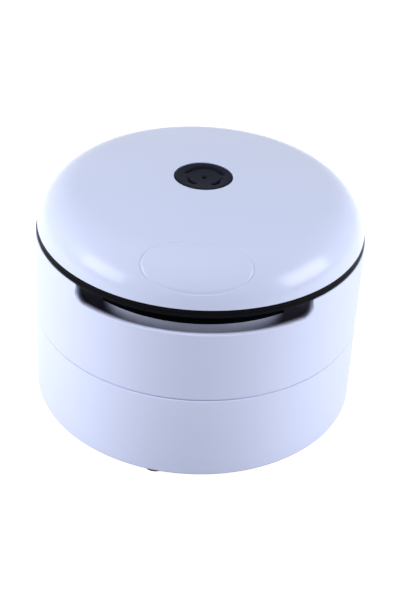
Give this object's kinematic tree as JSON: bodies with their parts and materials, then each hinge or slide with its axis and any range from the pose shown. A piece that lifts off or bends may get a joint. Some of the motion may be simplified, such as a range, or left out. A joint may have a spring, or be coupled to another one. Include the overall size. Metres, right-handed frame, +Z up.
{
  "type": "desktop vacuum cleaner",
  "caption": "Round battery desktop vacuum cleaner with a domed cover, a push button, a front exhaust slot and a twist-off dust bin.",
  "frame": {"origin": "on the surface it stands on, on the axis of the round casing", "axes": "+Z up along the casing's axis, the exhaust slot faces -Y, +X to the right seen from the front"},
  "size_m": [0.0856, 0.0856, 0.0622],
  "materials": {
    "armature_iron": "laminated",
    "black_lead": "pvc insulation",
    "black_plastic": "moulded, fine texture",
    "brass": "turned",
    "brush_fibre": "bundled fibres",
    "button_plastic": "moulded, satin",
    "cap_nylon": "moulded",
    "cell_sleeve": "printed sleeve, plain",
    "contact_steel": "nickel plated",
    "copper": "turned",
    "fan_plastic": "moulded",
    "filter_felt": "needled felt",
    "foot_rubber": "soft, matte",
    "grey_plastic": "moulded, fine texture",
    "magnet_ferrite": "ground ferrite",
    "motor_steel": "plated, drawn",
    "plunger_plastic": "moulded",
    "red_lead": "pvc insulation",
    "screw_steel": "zinc plated",
    "seal_rubber": "soft, matte",
    "shaft_steel": "ground",
    "white_plastic": "moulded, satin gloss"
  },
  "bodies": {
    "base": {"dust_bin": "white_plastic", "nozzle_plate": "black_plastic", "nozzle_screws": "screw_steel", "brush_front": "brush_fibre", "brush_rear": "brush_fibre", "foot_front": "foot_rubber", "foot_right": "foot_rubber", "foot_left": "foot_rubber"},
    "seal": {"bin_seal": "seal_rubber"},
    "housing": {"main_housing": "white_plastic", "fan_plate": "grey_plastic", "fan_plate_screws": "screw_steel", "filter_frame": "grey_plastic", "filter_felt": "filter_felt", "battery_tray": "black_plastic", "tray_screws": "screw_steel", "motor_can": "motor_steel", "motor_end_cap": "cap_nylon", "bush_front": "brass", "bush_rear": "brass", "motor_magnets": "magnet_ferrite", "motor_terminals": "brass", "switch_bridge": "grey_plastic", "bridge_screws": "screw_steel", "switch_case": "black_plastic", "cell_left": "cell_sleeve", "cell_right": "cell_sleeve", "contact_bridge": "contact_steel", "contact_pair": "contact_steel", "spring_rear": "contact_steel", "spring_front": "contact_steel", "lead_positive": "red_lead", "lead_switch": "red_lead", "lead_negative": "black_lead"},
    "rotor": {"motor_shaft": "shaft_steel", "armature": "armature_iron", "commutator": "copper", "impeller": "fan_plastic"},
    "plunger": {"switch_plunger": "plunger_plastic"},
    "cover": {"top_cover": "white_plastic"},
    "button": {"power_button": "button_plastic"}
  },
  "joints": [
    {"name": "housing_lift", "type": "slide", "parent": "base", "child": "seal", "axis": [0, 0, 1], "range_m": [0, 0.008]},
    {"name": "housing_twist", "type": "hinge", "parent": "seal", "child": "housing", "pos_m": [0, 0, 0.0244], "axis": [0, 0, 1], "range_deg": [0, 120]},
    {"name": "fan_spin", "type": "hinge", "parent": "housing", "child": "rotor", "pos_m": [0, 0, 0.03], "axis": [0, 0, 1], "continuous": true},
    {"name": "plunger_press", "type": "slide", "parent": "housing", "child": "plunger", "axis": [0, 0, -1], "range_m": [0, 0.0016]},
    {"name": "cover_lift", "type": "slide", "parent": "housing", "child": "cover", "axis": [0, 0, 1], "range_m": [0, 0.03]},
    {"name": "button_press", "type": "slide", "parent": "cover", "child": "button", "axis": [0, 0, -1], "range_m": [0, 0.0016], "stiffness_N_per_m": 300, "springref_m": -0.003}
  ],
  "couplings": [
    {"joint": "housing_lift", "follows": "housing_twist", "m_per_rad": 0.0038197},
    {"joint": "plunger_press", "follows": "button_press", "ratio": 1}
  ]
}
